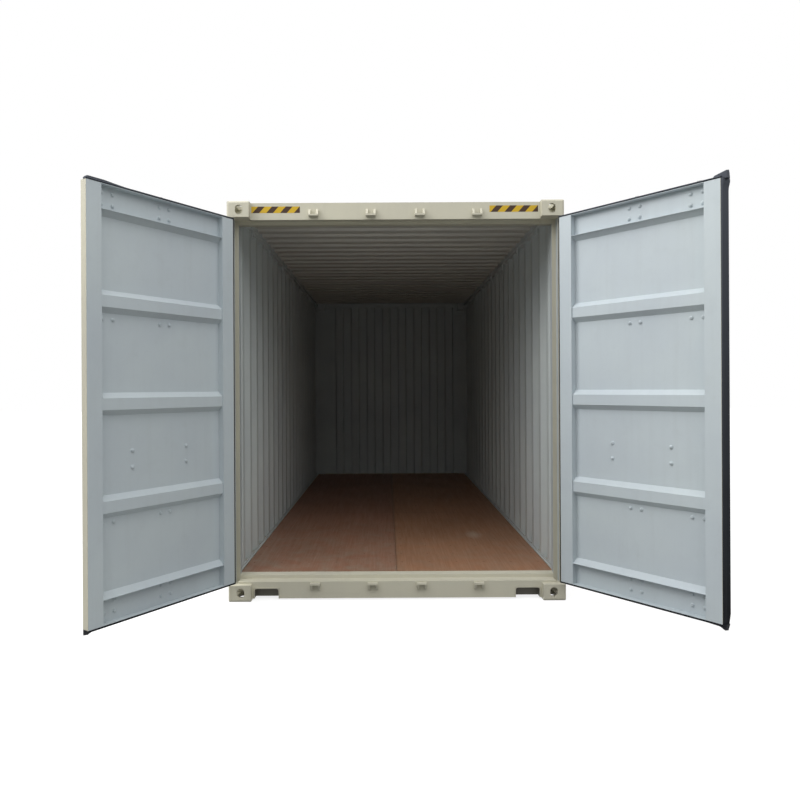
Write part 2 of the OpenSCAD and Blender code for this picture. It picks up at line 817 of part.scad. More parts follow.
// Pressed panel with ribs towards the inside
module door_panel() {
    low = leaf_z + channel_h;
    high = leaf_top - channel_h;
    crest = leaf_out - rib_depth + sheet;
    edge = rib_crest / 2;
    ribs = [for (share = rib_shares, p = [[-edge - rib_slope, leaf_out], [-edge, crest], [edge, crest],
        [edge + rib_slope, leaf_out]]) [leaf_z + share * leaf_h + p[0], p[1]]];
    line = concat([[low, crest], [low + rib_slope, leaf_out]], ribs,
        [[high - rib_slope, leaf_out], [high, crest]]);
    translate([leaf_a + stile_w, 0, 0]) rotate([90, 0, 90]) linear_extrude(leaf_w - 2 * stile_w)
        mirror([1, -1]) sheet_along(line);
}

// Rubber seal around the top, the bottom and the hinge side of a leaf
module door_seal() {
    difference() {
        translate([leaf_a - seal_lip, leaf_in, leaf_z - seal_lip])
            cube([leaf_w + seal_lip, seal_t, leaf_h + 2 * seal_lip]);
        translate([leaf_a, leaf_in - over, leaf_z]) cube([leaf_w + over, seal_t + 2 * over, leaf_h]);
    }
}

// Rubber seal along the right leaf's free edge
module centre_seal() {
    translate([leaf_end, leaf_in, leaf_z - seal_lip]) cube([centre_seal_lip, leaf_t, leaf_h + 2 * seal_lip]);
}

// Lock rods with a cam at each end, turned to the unlocked position
module lock_rods() {
    for (u = rod_us) translate([u, rod_v, 0]) union() {
        translate([0, 0, rod_low]) cylinder(r = rod_r, h = rod_high - rod_low);
        for (z = [rod_low, rod_high - cam_h]) translate([-cam_t / 2, 0, z]) cube([cam_t, cam_reach, cam_h]);
    }
}

// Base plates with a bearing around each rod
module rod_brackets() {
    bearing_r = rod_r + bearing_wall;
    last = len(bracket_shares) - 1;
    for (u = rod_us, i = [0 : last]) translate([u, leaf_out, leaf_z + leaf_h * bracket_shares[i]]) {
        tall = i == 0 || i == last ? bracket_h : bearing_h;
        difference() {
            union() {
                translate([-bracket_w / 2, 0, -tall / 2]) cube([bracket_w, bracket_t, tall]);
                translate([-bearing_r, 0, -bearing_h / 2]) cube([2 * bearing_r, rod_off, bearing_h]);
                translate([0, rod_off, -bearing_h / 2]) cylinder(r = bearing_r, h = bearing_h);
            }
            translate([0, rod_off, -bearing_h / 2 - over])
                cylinder(r = rod_r + rod_clearance, h = bearing_h + 2 * over);
        }
    }
}

// Handles that turn the rods, each with a hub on its rod and a round end
module handles() {
    hub_r = rod_r + hub_wall;
    for (u = rod_us) translate([u, rod_v, handle_z]) difference() {
        union() {
            translate([0, 0, -hub_h / 2]) cylinder(r = hub_r, h = hub_h);
            translate([-handle_l, -handle_t / 2, -handle_h / 2]) cube([handle_l, handle_t, handle_h]);
            translate([-handle_l, handle_t / 2, 0]) rotate([90, 0, 0]) cylinder(d = handle_h, h = handle_t);
        }
        translate([0, 0, -hub_h / 2 - over]) cylinder(r = rod_r + rod_clearance, h = hub_h + 2 * over);
    }
}

// Plates with hooks that hold each handle
module handle_retainers() {
    reach = rod_off + handle_t;
    for (u = rod_us) translate([u - retainer_off, leaf_out, handle_z]) union() {
        translate([-retainer_w / 2, 0, -retainer_h / 2]) cube([retainer_w, bracket_t, retainer_h]);
        for (z = [-handle_h / 2 - hook_h - hook_play, handle_h / 2 + hook_play])
            translate([-hook_w / 2, 0, z]) cube([hook_w, reach, hook_h]);
    }
}

// The left door
module left_door_frame() { color(inside_grey) left_leaf() door_frame(); }
module left_door_panel() { color(inside_grey) left_leaf() door_panel(); }
module left_door_seal() { color(rubber_black) left_leaf() door_seal(); }
module left_hinge_blades() { color(cream) left_leaf() hinge_blades(); }
module left_lock_rods() { color(zinc) left_leaf() lock_rods(); }
module left_rod_brackets() { color(zinc) left_leaf() rod_brackets(); }
module left_handles() { color(zinc) left_leaf() handles(); }
module left_handle_retainers() { color(zinc) left_leaf() handle_retainers(); }

// The right door
module right_door_frame() { color(inside_grey) right_leaf() door_frame(); }
module right_door_panel() { color(inside_grey) right_leaf() door_panel(); }
module right_door_seal() { color(rubber_black) right_leaf() door_seal(); }
module right_centre_seal() { color(rubber_black) right_leaf() centre_seal(); }
module right_hinge_blades() { color(cream) right_leaf() hinge_blades(); }
module right_lock_rods() { color(zinc) right_leaf() lock_rods(); }
module right_rod_brackets() { color(zinc) right_leaf() rod_brackets(); }
module right_handles() { color(zinc) right_leaf() handles(); }
module right_handle_retainers() { color(zinc) right_leaf() handle_retainers(); }

bottom_corner_castings();
top_corner_castings();
rear_posts();
rear_j_bars();
front_posts();
door_header();
door_sill();
sill_liners();
front_top_rail();
front_bottom_rail();
top_side_rails();
bottom_side_rails();
left_side_wall();
right_side_wall();
front_wall();
roof_panel();
cross_members();
forklift_pockets();
left_floor_boards();
right_floor_boards();
floor_guides();
header_keepers();
sill_keepers();
hinge_lugs();
lashing_rings();
side_vents();
left_door_frame();
left_door_panel();
left_door_seal();
left_hinge_blades();
left_lock_rods();
left_rod_brackets();
left_handles();
left_handle_retainers();
right_door_frame();
right_door_panel();
right_door_seal();
right_centre_seal();
right_hinge_blades();
right_lock_rods();
right_rod_brackets();
right_handles();
right_handle_retainers();
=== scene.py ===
"""Looks of a steel shipping container: paint, floor finish, rubber seals, bolts and warning stripes.

The packed CAD nodes are the fixed frame. The operators below paint them and add the small pieces that
the CAD model leaves out, and the last one sets up the studio.
"""
import json
import math

import bmesh
import bpy
import numpy as np
from bpy.props import FloatProperty, FloatVectorProperty, PointerProperty
from mathutils import Matrix, Vector


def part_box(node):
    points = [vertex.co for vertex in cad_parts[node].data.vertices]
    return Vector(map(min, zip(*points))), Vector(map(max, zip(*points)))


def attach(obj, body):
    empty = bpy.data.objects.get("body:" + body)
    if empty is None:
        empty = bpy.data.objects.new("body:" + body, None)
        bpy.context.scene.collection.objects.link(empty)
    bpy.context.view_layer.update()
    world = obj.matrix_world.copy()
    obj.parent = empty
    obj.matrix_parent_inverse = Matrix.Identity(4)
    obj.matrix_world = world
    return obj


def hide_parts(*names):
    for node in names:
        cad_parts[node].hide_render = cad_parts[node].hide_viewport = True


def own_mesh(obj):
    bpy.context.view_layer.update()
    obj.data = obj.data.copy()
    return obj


bl_info = {
    "name": "Shipping container looks",
    "version": (1, 0, 0),
    "blender": (4, 5, 0),
    "location": "3D View > Sidebar > Container",
    "description": "Paint, floor, seals, bolts and studio for a steel shipping container",
    "category": "Object",
}

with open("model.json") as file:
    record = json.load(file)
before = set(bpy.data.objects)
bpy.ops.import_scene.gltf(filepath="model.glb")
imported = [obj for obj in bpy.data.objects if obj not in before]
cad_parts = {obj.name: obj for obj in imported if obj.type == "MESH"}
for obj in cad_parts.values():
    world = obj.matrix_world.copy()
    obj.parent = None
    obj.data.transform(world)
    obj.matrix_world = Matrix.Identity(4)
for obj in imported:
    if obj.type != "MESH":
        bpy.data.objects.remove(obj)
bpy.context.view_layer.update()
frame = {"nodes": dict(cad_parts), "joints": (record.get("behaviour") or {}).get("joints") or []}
JOINTS = {joint["name"]: joint for joint in frame["joints"]}
SIDES = {"left": -1.0, "right": 1.0}

# Sizes and places on the CAD model that the small pieces follow, in metres
CASTING_WIDTH = 0.162
LINER_RIM = 0.012
MEMBER_GAP = 0.1
FLANGE_MIDDLE = 0.024
SCREW_MARGIN = 0.045
SCREWS_ACROSS = 6
ROD_RADIUS = 0.016
WEB_THICKNESS = 0.003
SHEET_THICKNESS = 0.002
BRACKET_BOLT_OFFSETS = (-0.038, 0.038)
RETAINER_BOLT_OFFSET = 0.172
FRAME_BOLT_HEIGHTS = (0.055, 0.123, 2.480, 2.549)
PANEL_BOLT_HEIGHTS = (0.588, 1.798)
RETAINER_BOLT_HEIGHTS = (0.904, 1.005)
DOOR_END_MIDDLE = (3.1, 0.0, 1.3)

# Blurs of the paint's edges by place and by normal, and a length past the whole container
EDGE_BLUR = 0.0005
FACING_BLUR = 0.02
FAR = 10.0


# User settings

def colour(name, text, default):
    """A linear colour setting."""
    return FloatVectorProperty(name=name, description=text, default=default, size=3, min=0, max=1,
                               subtype="COLOR")


def size(name, text, default):
    """A length setting in metres."""
    return FloatProperty(name=name, description=text, default=default, min=0, unit="LENGTH", precision=4)


def pair(name, text, default):
    """A setting of two lengths in metres."""
    return FloatVectorProperty(name=name, description=text, default=default, size=2, unit="LENGTH",
                               precision=4)


def spot(name, text, default):
    """A place in the shared frame."""
    return FloatVectorProperty(name=name, description=text, default=default, size=3, subtype="TRANSLATION")


def light(name, text, default):
    """A level or a power of light."""
    return FloatProperty(name=name, description=text, default=default, min=0)


class ContainerColours(bpy.types.PropertyGroup):
    """Paints and finishes."""
    cream: colour("Outside paint", "Cream paint of the frame and all outer faces", (0.52, 0.50, 0.405))
    inner: colour("Door paint", "Pale grey paint of the doors' inner sides", (0.497, 0.553, 0.583))
    wall: colour("Wall paint", "Pale grey paint of the walls inside", (0.54, 0.58, 0.58))
    # The sill paint is painted light: a brighter copy of the outside cream, for the extra light on the sill
    # and the lower castings.
    sill: colour("Sill paint", "Cleaner cream of the sill and the lower castings", (0.585, 0.563, 0.457))
    # The header underside colour is painted shade: the outside cream darkened where the header's underside
    # lies in shadow.
    under: colour("Header underside", "Dirtier cream paint under the door header", (0.43, 0.412, 0.33))
    # The jamb colour is painted shade: the cream of the door posts' inner sides turned greyer and bluer
    # where they lie in shade.
    jamb_shade: colour("Jamb paint", "Greyer paint of the door posts' inner sides", (0.43, 0.46, 0.47))
    ceiling: colour("Ceiling paint", "Warmer grey paint of the roof inside", (0.505, 0.497, 0.457))
    soil: colour("Soil", "Thin dirt on the paint", (0.16, 0.15, 0.125))
    ply: colour("Floor", "Stained plywood", (0.41, 0.215, 0.132))
    ply_dark: colour("Floor grain", "Darker grain of the plywood", (0.20, 0.095, 0.06))
    ply_seam: colour("Floor seams", "Dark seams between the boards", (0.03, 0.02, 0.016))
    ply_dust: colour("Floor dust", "Dust trodden in at the doorway", (0.32, 0.26, 0.195))
    ply_scuff: colour("Floor scuff", "Pale scuffed wood", (0.54, 0.42, 0.33))
    rubber: colour("Rubber", "Door seals", (0.007, 0.008, 0.010))
    # The paler blue-grey of the seals' upper ends is partly dust and partly painted sheen of the light from
    # above.
    sheen_and_dust: colour("Rubber bloom", "Faded rubber of the seals' upper ends", (0.070, 0.077, 0.092))
    rubber_dust: colour("Rubber dust", "Dust on the seals", (0.075, 0.083, 0.098))
    zinc: colour("Zinc", "Zinc-coated lock gear", (0.46, 0.46, 0.44))
    crystal: colour("Zinc crystals", "Paler crystals in the zinc coat", (0.62, 0.62, 0.61))
    stripe_light: colour("Stripe", "Golden yellow of the warning stripes", (0.558, 0.362, 0.027))
    stripe_dark: colour("Stripe gap", "Dark bars of the warning stripes", (0.055, 0.031, 0.021))


class ContainerSizes(bpy.types.PropertyGroup):
    """Sizes of the small pieces."""
    collar_radius: size("Bolt collar radius", "Radius of the collars on the doors' inner faces", 0.0105)
    collar_height: size("Bolt collar height", "Height of those collars", 0.0095)
    flap_top: size("Top flap", "Rise of the left seal's flap at its upper corner", 0.022)
    flap_low: size("Bottom flap", "Drop of the left seal's flap at its lower corner", 0.036)
    ear_top: size("Upper ear", "Rise of the centre seal's upper end above the right leaf", 0.050)
    ear_low: size("Lower ear", "Drop of the centre seal's lower end below the right leaf", 0.040)
    centre_lip: size("Centre lip", "Reach of the centre seal past the right leaf's free edge", 0.027)
    stripe_pitch: size("Stripe pitch", "Distance between the warning stripes", 0.101)
    stripe_length: size("Stripe length", "Length of each striped foil", 0.354)
    stripe_height: size("Stripe height", "Height of each striped foil", 0.047)
    stripe_drop: size("Stripe drop", "From the header's top down to the foils", 0.0255)
    stripe_gap: pair("Stripe gaps", "From the left and right castings to the foils", (0.009, 0.017))
    board: size("Board length", "Length of one plywood board", 2.4)
    scuff: pair("Scuff place", "Where the floor has a pale scuff, along and across", (1.60, 0.73))
    screw_radius: size("Screw radius", "Radius of the floor's screw heads", 0.0075)


class ContainerStage(bpy.types.PropertyGroup):
    """Camera and light of the studio."""
    camera_place: spot("Camera place", "Where the camera stands", (7.937, -0.068, 1.536))
    lens: FloatProperty(name="Lens", description="Focal length in millimetres", default=30.66, min=10)
    shift: FloatVectorProperty(name="Shift", description="Lens shift of the picture", size=2,
                               default=(0.0165, -0.0144))
    roll: FloatProperty(name="Roll", description="Turn of the camera about its view", default=-0.0052,
                        subtype="ANGLE")
    sky: light("Sky level", "Light from straight above", 1.6)
    horizon: light("Horizon level", "Light from the horizon", 0.03)
    key: light("Key level", "Power of the soft lamp above and to the left", 312.0)
    key_place: spot("Key place", "Where that lamp hangs", (4.2, -5.0, 6.0))
    key_size: pair("Key size", "Width and height of that lamp", (4.0, 4.0))
    top: light("Top level", "Power of the wide lamp above the doors", 87.0)
    top_place: spot("Top place", "Where that lamp hangs", (5.4, 0.0, 4.8))
    top_size: pair("Top size", "Width and depth of that lamp", (9.0, 3.0))


# Mesh helpers

def node_points(node):
    """The points of a CAD node, one row each."""
    mesh = frame["nodes"][node].data
    places = np.empty(len(mesh.vertices) * 3)
    mesh.vertices.foreach_get("co", places)
    return places.reshape(-1, 3)


def grid_faces(rows, cols, wrap):
    """Quads of a grid of rows by cols points, in row order, closed across its columns if wrap is set."""
    steps = cols if wrap else cols - 1
    i, j = np.meshgrid(np.arange(rows - 1), np.arange(steps), indexing="ij")
    k = (j + 1) % cols
    return np.stack([i * cols + j, i * cols + k, (i + 1) * cols + k, (i + 1) * cols + j], -1).reshape(-1, 4)


def add_piece(name, points, faces, material, body, smooth=True):
    """Puts points and faces into a mesh, merges its poles, turns its faces outwards and lets it ride."""
    mesh = bpy.data.meshes.new(name)
    mesh.from_pydata(np.asarray(points).reshape(-1, 3).tolist(), [], [list(map(int, f)) for f in faces])
    work = bmesh.new()
    work.from_mesh(mesh)
    bmesh.ops.remove_doubles(work, verts=work.verts, dist=1e-6)
    bmesh.ops.dissolve_degenerate(work, edges=work.edges, dist=1e-7)
    bmesh.ops.recalc_face_normals(work, faces=work.faces)
    work.to_mesh(mesh)
    work.free()
    mesh.materials.append(material)
    if smooth:
        mesh.shade_smooth()
        mesh.set_sharp_from_angle(angle=math.radians(38))
    piece = bpy.data.objects.new(name, mesh)
    bpy.context.scene.collection.objects.link(piece)
    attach(piece, body)
    return piece


def turned(profile, segments, count):
    """A turned shape: radius and height pairs swept round the axis at even angles, as a grid of points.

    With it come the faces of count copies, each copy's numbers moved on by the shape's points.
    """
    angle = np.linspace(0, 2 * math.pi, segments, endpoint=False)
    radius, height = profile.T[:, :, None]
    shape = np.stack(np.broadcast_arrays(radius * np.cos(angle), radius * np.sin(angle), height), -1)
    firsts = np.arange(count)[:, None, None] * len(profile) * segments
    return shape, (grid_faces(len(profile), segments, True) + firsts).reshape(-1, 4)


def swept(sections):
    """Faces of closed profiles carried along a path: a band between neighbours, and a cap at each end."""
    rows, cols = sections.shape[:2]
    band = [list(face) for face in grid_faces(rows, cols, True)]
    return band + [list(range(cols)), list(range((rows - 1) * cols, rows * cols))]


def plate_faces(rows, cols):
    """Faces of a closed plate: a grid, the same grid turned over behind it, and a band round their rim."""
    front = grid_faces(rows, cols, False)
    index = np.arange(rows * cols).reshape(rows, cols)
    rim = np.concatenate([index[0], index[1:, -1], index[-1, -2::-1], index[-2:0:-1, 0]])
    after = np.roll(rim, -1)
    band = np.stack([rim, after, after + index.size, rim + index.size], -1)
    return np.concatenate([front, front[:, ::-1] + index.size, band])


class Leaf:
    """One door leaf's own axes: u from the hinge pin along the leaf, v towards its outside, z up."""

    def __init__(self, side):
        joint = JOINTS[f"{side}_door_hinge"]
        turn = math.radians(-joint["range_deg"][0] - 90)
        sign = SIDES[side]
        self.side = side
        self.body = f"{side}_door"
        self.u = np.array([math.cos(turn), sign * math.sin(turn), 0.0])
        self.v = np.array([-math.sin(turn), sign * math.cos(turn), 0.0])
        self.pin = np.array([joint["pos_m"][0], joint["pos_m"][1], 0.0])
        low, high = self.extent(f"{side}_door_frame")
        self.hinge_u, self.inner_v, self.low = low
        self.free_u, self.outer_v, self.top = high

    def points(self, node):
        """The u, v and z of each point of a node of this leaf."""
        places = node_points(node) - self.pin
        return np.stack([places @ self.u, places @ self.v, places[:, 2]], -1)

    def extent(self, node):
        """Lowest and highest u, v and z of a node of this leaf."""
        local = self.points(node)
        return local.min(0), local.max(0)

    def panel_line(self):
        """Section of the pressed panel: heights in rising order, and the v of its outer side at each."""
        local = self.points(self.side + "_door_panel")
        z, order = np.unique(np.round(local[:, 2], 4), return_inverse=True)
        v = np.full(len(z), -np.inf)
        np.maximum.at(v, order, local[:, 1])
        return z, v

    def place(self, u, v, z):
        """World points of leaf points, from numbers or arrays that fit together."""
        u, v, z = np.broadcast_arrays(u, v, z)
        up = np.array([0.0, 0.0, 1.0])
        return self.pin + u[..., None] * self.u + v[..., None] * self.v + z[..., None] * up


# Node helpers

def add(tree, kind, inputs=None, **settings):
    """A node with its settings, whose inputs take values or other nodes' sockets."""
    made = tree.nodes.new(kind)
    for key, value in settings.items():
        setattr(made, key, value)
    for key, value in (inputs or {}).items():
        if isinstance(value, bpy.types.NodeSocket):
            tree.links.new(value, made.inputs[key])
        else:
            made.inputs[key].default_value = value
    return made


def math_node(tree, operation, *values):
    """The result of one arithmetic step on values or sockets."""
    return add(tree, "ShaderNodeMath", dict(enumerate(values)), operation=operation).outputs[0]


def step_of(operation):
    """A function that takes one arithmetic step on two values or sockets."""
    return lambda tree, first, second: math_node(tree, operation, first, second)


plus, minus, times, most = map(step_of, ("ADD", "SUBTRACT", "MULTIPLY", "MAXIMUM"))


def dot(tree, first, second):
    """The dot product of two vectors."""
    made = add(tree, "ShaderNodeVectorMath", {0: first, 1: second}, operation="DOT_PRODUCT")
    return made.outputs["Value"]


def here(tree):
    """The point being shaded, in the shared frame."""
    return add(tree, "ShaderNodeTexCoord").outputs["Object"]


def axes_of(tree, vector):
    """The X, Y and Z of a vector."""
    return add(tree, "ShaderNodeSeparateXYZ", {0: vector}).outputs


def ramp(tree, value, low, high, to_low=0.0, to_high=1.0):
    """Maps a value from one range to another and holds it at the ends."""
    made = add(tree, "ShaderNodeMapRange", {0: value, 1: low, 2: high, 3: to_low, 4: to_high})
    return made.outputs[0]


def soft_step(tree, value, blur):
    """0 below zero and 1 above it, with a slope as wide as the blur on either side."""
    return ramp(tree, value, -blur, blur)


def mixed(tree, factor, first, second, blend="MIX"):
    """Colour between two colours by a factor."""
    made = add(tree, "ShaderNodeMix", {0: factor, 6: first, 7: second}, data_type="RGBA", blend_type=blend)
    return made.outputs[2]


def line_through(tree, value, places, levels):
    """A value read from straight lines through points, given as rising places and their levels."""
    made = tree.nodes.new("ShaderNodeFloatCurve")
    line = made.mapping.curves[0]
    low, high = min(levels), max(levels)
    spots = np.stack([np.interp(places, (places[0], places[-1]), (0, 1)),
                      np.interp(levels, (low, high), (0, 1))], -1)
    line.points[0].location, line.points[1].location = spots[0], spots[-1]
    for point in spots[1:-1]:
        line.points.new(*point)
    for point in line.points:
        point.handle_type = "VECTOR"
    made.mapping.update()
    tree.links.new(ramp(tree, value, places[0], places[-1]), made.inputs["Value"])
    return ramp(tree, made.outputs[0], 0.0, 1.0, low, high)


def noise(tree, vector, scale, detail=4.0, rough=0.55):
    """Fractal noise from 0 to 1 at a scale in waves per metre."""
    inputs = {"Vector": vector, "Scale": scale, "Detail": detail, "Roughness": rough}
    return add(tree, "ShaderNodeTexNoise", inputs).outputs[0]


def stretched(tree, vector, factors):
    """A vector with each axis multiplied, which stretches a pattern along the small ones."""
    return add(tree, "ShaderNodeMapping", {"Vector": vector, "Scale": factors}).outputs[0]


def group(name, inputs, outputs):
    """An empty shader node group with named sockets, and its input and output nodes."""
    tree = bpy.data.node_groups.new(name, "ShaderNodeTree")
    kinds = {"c": "NodeSocketColor", "f": "NodeSocketFloat", "v": "NodeSocketVector"}
    for label, kind in inputs:
        tree.interface.new_socket(name=label, in_out="INPUT", socket_type=kinds[kind])
    for label, kind in outputs:
        tree.interface.new_socket(name=label, in_out="OUTPUT", socket_type=kinds[kind])
    return tree, tree.nodes.new("NodeGroupInput").outputs, tree.nodes.new("NodeGroupOutput").inputs


def rgba(values):
    """A colour setting with an alpha of 1."""
    return (*values, 1.0)


# Shared effects

def painted_steel_group():
    """Soiled paint, whose tone follows a slow cloud and whose gloss follows patches.

    The soil is the sum of upright runs, patches and specks, times its share. The height is a slow sag of
    the sheet plus the fine peel of the paint.
    """
    tree, given, result = group("Painted steel", [("Paint", "c"), ("Soil", "c"), ("Soil Share", "f")],
                                [("Colour", "c"), ("Roughness", "f"), ("Height", "f")])
    place = here(tree)
    cloud = noise(tree, place, 1.3, 5.0, 0.6)
    patch = noise(tree, place, 9.0, 4.0, 0.6)
    runs = noise(tree, stretched(tree, place, (17.0, 17.0, 0.9)), 1.0, 4.0, 0.6)
    specks = noise(tree, place, 60.0, 2.0, 0.5)
    peel = noise(tree, place, 190.0, 2.0, 0.5)
    sag = noise(tree, place, 2.2, 1.0, 0.4)
    tone = ramp(tree, cloud, 0.25, 0.75, 0.93, 1.06)
    blue_tone = ramp(tree, cloud, 0.25, 0.75, 0.95, 1.03)
    shade = add(tree, "ShaderNodeCombineColor", {0: tone, 1: tone, 2: blue_tone}).outputs[0]
    paint = mixed(tree, 1.0, given["Paint"], shade, "MULTIPLY")
    marks = plus(tree, ramp(tree, runs, 0.50, 0.78, 0.0, 0.55), ramp(tree, patch, 0.55, 0.80, 0.0, 0.5))
    marks = plus(tree, marks, ramp(tree, specks, 0.62, 0.74, 0.0, 0.35))
    soiled = times(tree, marks, given["Soil Share"])
    tree.links.new(mixed(tree, soiled, paint, given["Soil"]), result["Colour"])
    rough = plus(tree, ramp(tree, patch, 0.3, 0.7, 0.44, 0.56), times(tree, soiled, 0.3))
    tree.links.new(rough, result["Roughness"])
    tree.links.new(plus(tree, times(tree, sag, 3.0), times(tree, peel, 0.10)), result["Height"])


def outer_side_group():
    """A mask that is 1 on the outside of a piece, where any of three tests holds.

    The normal's share along outward is more than the cut, with outward turned across Y on the left half if
    both sides are set. Or the point is farther from the middle than the edge, along a direction. Or it lies
    farther out than the sheet, with a normal that doesn't look inwards.
    """
    inputs = [("Outward", "v"), ("Cut", "f"), ("Both Sides", "f"), ("Along", "v"), ("Middle", "f"),
              ("Edge", "f"), ("Sheet", "f")]
    tree, given, result = group("Outer side", inputs, [("Mask", "f")])
    coordinates = add(tree, "ShaderNodeTexCoord").outputs
    place = coordinates["Object"]
    half = math_node(tree, "SIGN", axes_of(tree, place)["Y"])
    flip = add(tree, "ShaderNodeMix", {0: given["Both Sides"], 2: 1.0, 3: half}).outputs[0]
    turn = add(tree, "ShaderNodeCombineXYZ", {0: 1.0, 1: flip, 2: 1.0}).outputs[0]
    outward = add(tree, "ShaderNodeVectorMath", {0: given["Outward"], 1: turn}, operation="MULTIPLY")
    facing = dot(tree, coordinates["Normal"], outward.outputs[0])
    over = soft_step(tree, minus(tree, facing, given["Cut"]), FACING_BLUR)
    away = math_node(tree, "ABSOLUTE", minus(tree, dot(tree, place, given["Along"]), given["Middle"]))
    past = soft_step(tree, minus(tree, away, given["Edge"]), EDGE_BLUR)
    depth = dot(tree, place, given["Outward"])
    beyond = soft_step(tree, minus(tree, depth, given["Sheet"]), EDGE_BLUR)
    sideways = soft_step(tree, plus(tree, facing, given["Cut"]), FACING_BLUR)
    recess = times(tree, beyond, sideways)
    tree.links.new(most(tree, most(tree, over, past), recess), result["Mask"])


def dust_group():
    """Dust over a colour: its mask is a cloud times a fine grit times the share."""
    tree, given, result = group("Dust", [("Colour", "c"), ("Dust", "c"), ("Share", "f")],
                                [("Colour", "c"), ("Mask", "f")])
    place = here(tree)
    cloud = noise(tree, place, 6.0, 5.0, 0.65)
    grit = noise(tree, place, 90.0, 2.0, 0.6)
    mask = times(tree, ramp(tree, cloud, 0.38, 0.72), ramp(tree, grit, 0.3, 0.7, 0.4, 1.0))
    mask = times(tree, mask, given["Share"])
    tree.links.new(mixed(tree, mask, given["Colour"], given["Dust"]), result["Colour"])
    tree.links.new(mask, result["Mask"])


EFFECTS = {"Painted steel": painted_steel_group, "Outer side": outer_side_group, "Dust": dust_group}


def use(tree, name, **inputs):
    """An effect placed in a tree, built on first use. Its inputs have underscores for spaces."""
    if name not in bpy.data.node_groups:
        EFFECTS[name]()
    named = {key.replace("_", " "): value for key, value in inputs.items()}
    return add(tree, "ShaderNodeGroup", named, node_tree=bpy.data.node_groups[name]).outputs


# Materials

def new_material(name):
    """A material with its tree and its shader."""
    made = bpy.data.materials.new(name)
    made.use_nodes = True
    tree = made.node_tree
    return made, tree, next(n for n in tree.nodes if n.type == "BSDF_PRINCIPLED")


def bare_tree(owner):
    """The emptied node tree of a material or a world."""
    owner.use_nodes = True
    owner.node_tree.nodes.clear()
    return owner.node_tree


def bumped(tree, shader, height, distance, strength):
    """Feeds a height, times a distance in metres, to the shader's normal."""
    bump = add(tree, "ShaderNodeBump", {"Height": height, "Distance": distance, "Strength": strength})
    tree.links.new(bump.outputs[0], shader.inputs["Normal"])


def coated(tree, shader, paint, soil_share, specular):
    """Feeds soiled paint to the shader, and sets how strongly it reflects."""
    soil = rgba(bpy.context.scene.container_colours.soil)
    coat = use(tree, "Painted steel", Paint=paint, Soil=soil, Soil_Share=soil_share)
    tree.links.new(coat["Colour"], shader.inputs["Base Color"])
    tree.links.new(coat["Roughness"], shader.inputs["Roughness"])
    shader.inputs["Specular IOR Level"].default_value = specular
    bumped(tree, shader, coat["Height"], distance=0.0012, strength=0.5)


def panel_depth(tree, leaf):
    """How far out the leaf's panel lies at each height, and out of reach inside the leaf's channels."""
    z, v = leaf.panel_line()
    height = axes_of(tree, here(tree))["Z"]
    sheet = line_through(tree, height, z, v + leaf.pin @ leaf.v)
    below = ramp(tree, height, z[0] - 3 * EDGE_BLUR, z[0] - EDGE_BLUR, FAR, -FAR)
    above = ramp(tree, height, z[-1] + EDGE_BLUR, z[-1] + 3 * EDGE_BLUR, -FAR, FAR)
    return most(tree, sheet, most(tree, below, above))


def past_x(x):
    """The edge of all points past an X: a distance from a middle that lies far behind."""
    return {"along": (1, 0, 0), "middle": -FAR, "edge": x + FAR}


def painted(name, paint, soil_share=0.10, inner=None, outward=(0, 0, 1), cut=0.0, both_sides=0.0,
            along=(0, 0, 0), middle=0.0, edge=1.0, leaf=None):
    """Painted steel. With an inner paint, the first paint covers what looks outwards or lies past the edge.

    The edge is a distance from the middle, measured along a direction. With a leaf, the first paint also
    covers the sides of the recesses on the outside of its panel.
    """
    made, tree, shader = new_material(name)
    base = rgba(paint)
    if inner is not None:
        sheet = panel_depth(tree, leaf) if leaf else FAR
        mask = use(tree, "Outer side", Outward=outward, Cut=cut, Both_Sides=both_sides, Along=along,
                   Middle=middle, Edge=edge, Sheet=sheet)["Mask"]
        base = mixed(tree, mask, rgba(inner), rgba(paint))
    coated(tree, shader, base, soil_share, specular=0.35)
    return made


def rubber_material():
    """Matt black rubber that turns paler blue-grey with the height, as partly dust and partly painted sheen
    of the light from above, with dust in patches over it.
    """
    colours = bpy.context.scene.container_colours
    made, tree, shader = new_material("rubber_sheen_and_dust")
    place = here(tree)
    # Painted sheen with dust: the rubber turns paler from low down to the top, where more light falls from
    # above.
    paler_low, paler_high = 0.2, 2.75
    sheen_and_dust_share = ramp(tree, axes_of(tree, place)["Z"], paler_low, paler_high)
    sheen_and_dust_rubber = mixed(tree, sheen_and_dust_share, rgba(colours.rubber), rgba(colours.sheen_and_dust))
    dusty = use(tree, "Dust", Colour=sheen_and_dust_rubber, Dust=rgba(colours.rubber_dust), Share=0.2)
    tree.links.new(dusty["Colour"], shader.inputs["Base Color"])
    tree.links.new(ramp(tree, dusty["Mask"], 0.0, 0.3, 0.6, 0.85), shader.inputs["Roughness"])
    shader.inputs["Specular IOR Level"].default_value = 0.1
    bumped(tree, shader, noise(tree, place, 240.0, 2.0), distance=0.0004, strength=0.4)
    return made


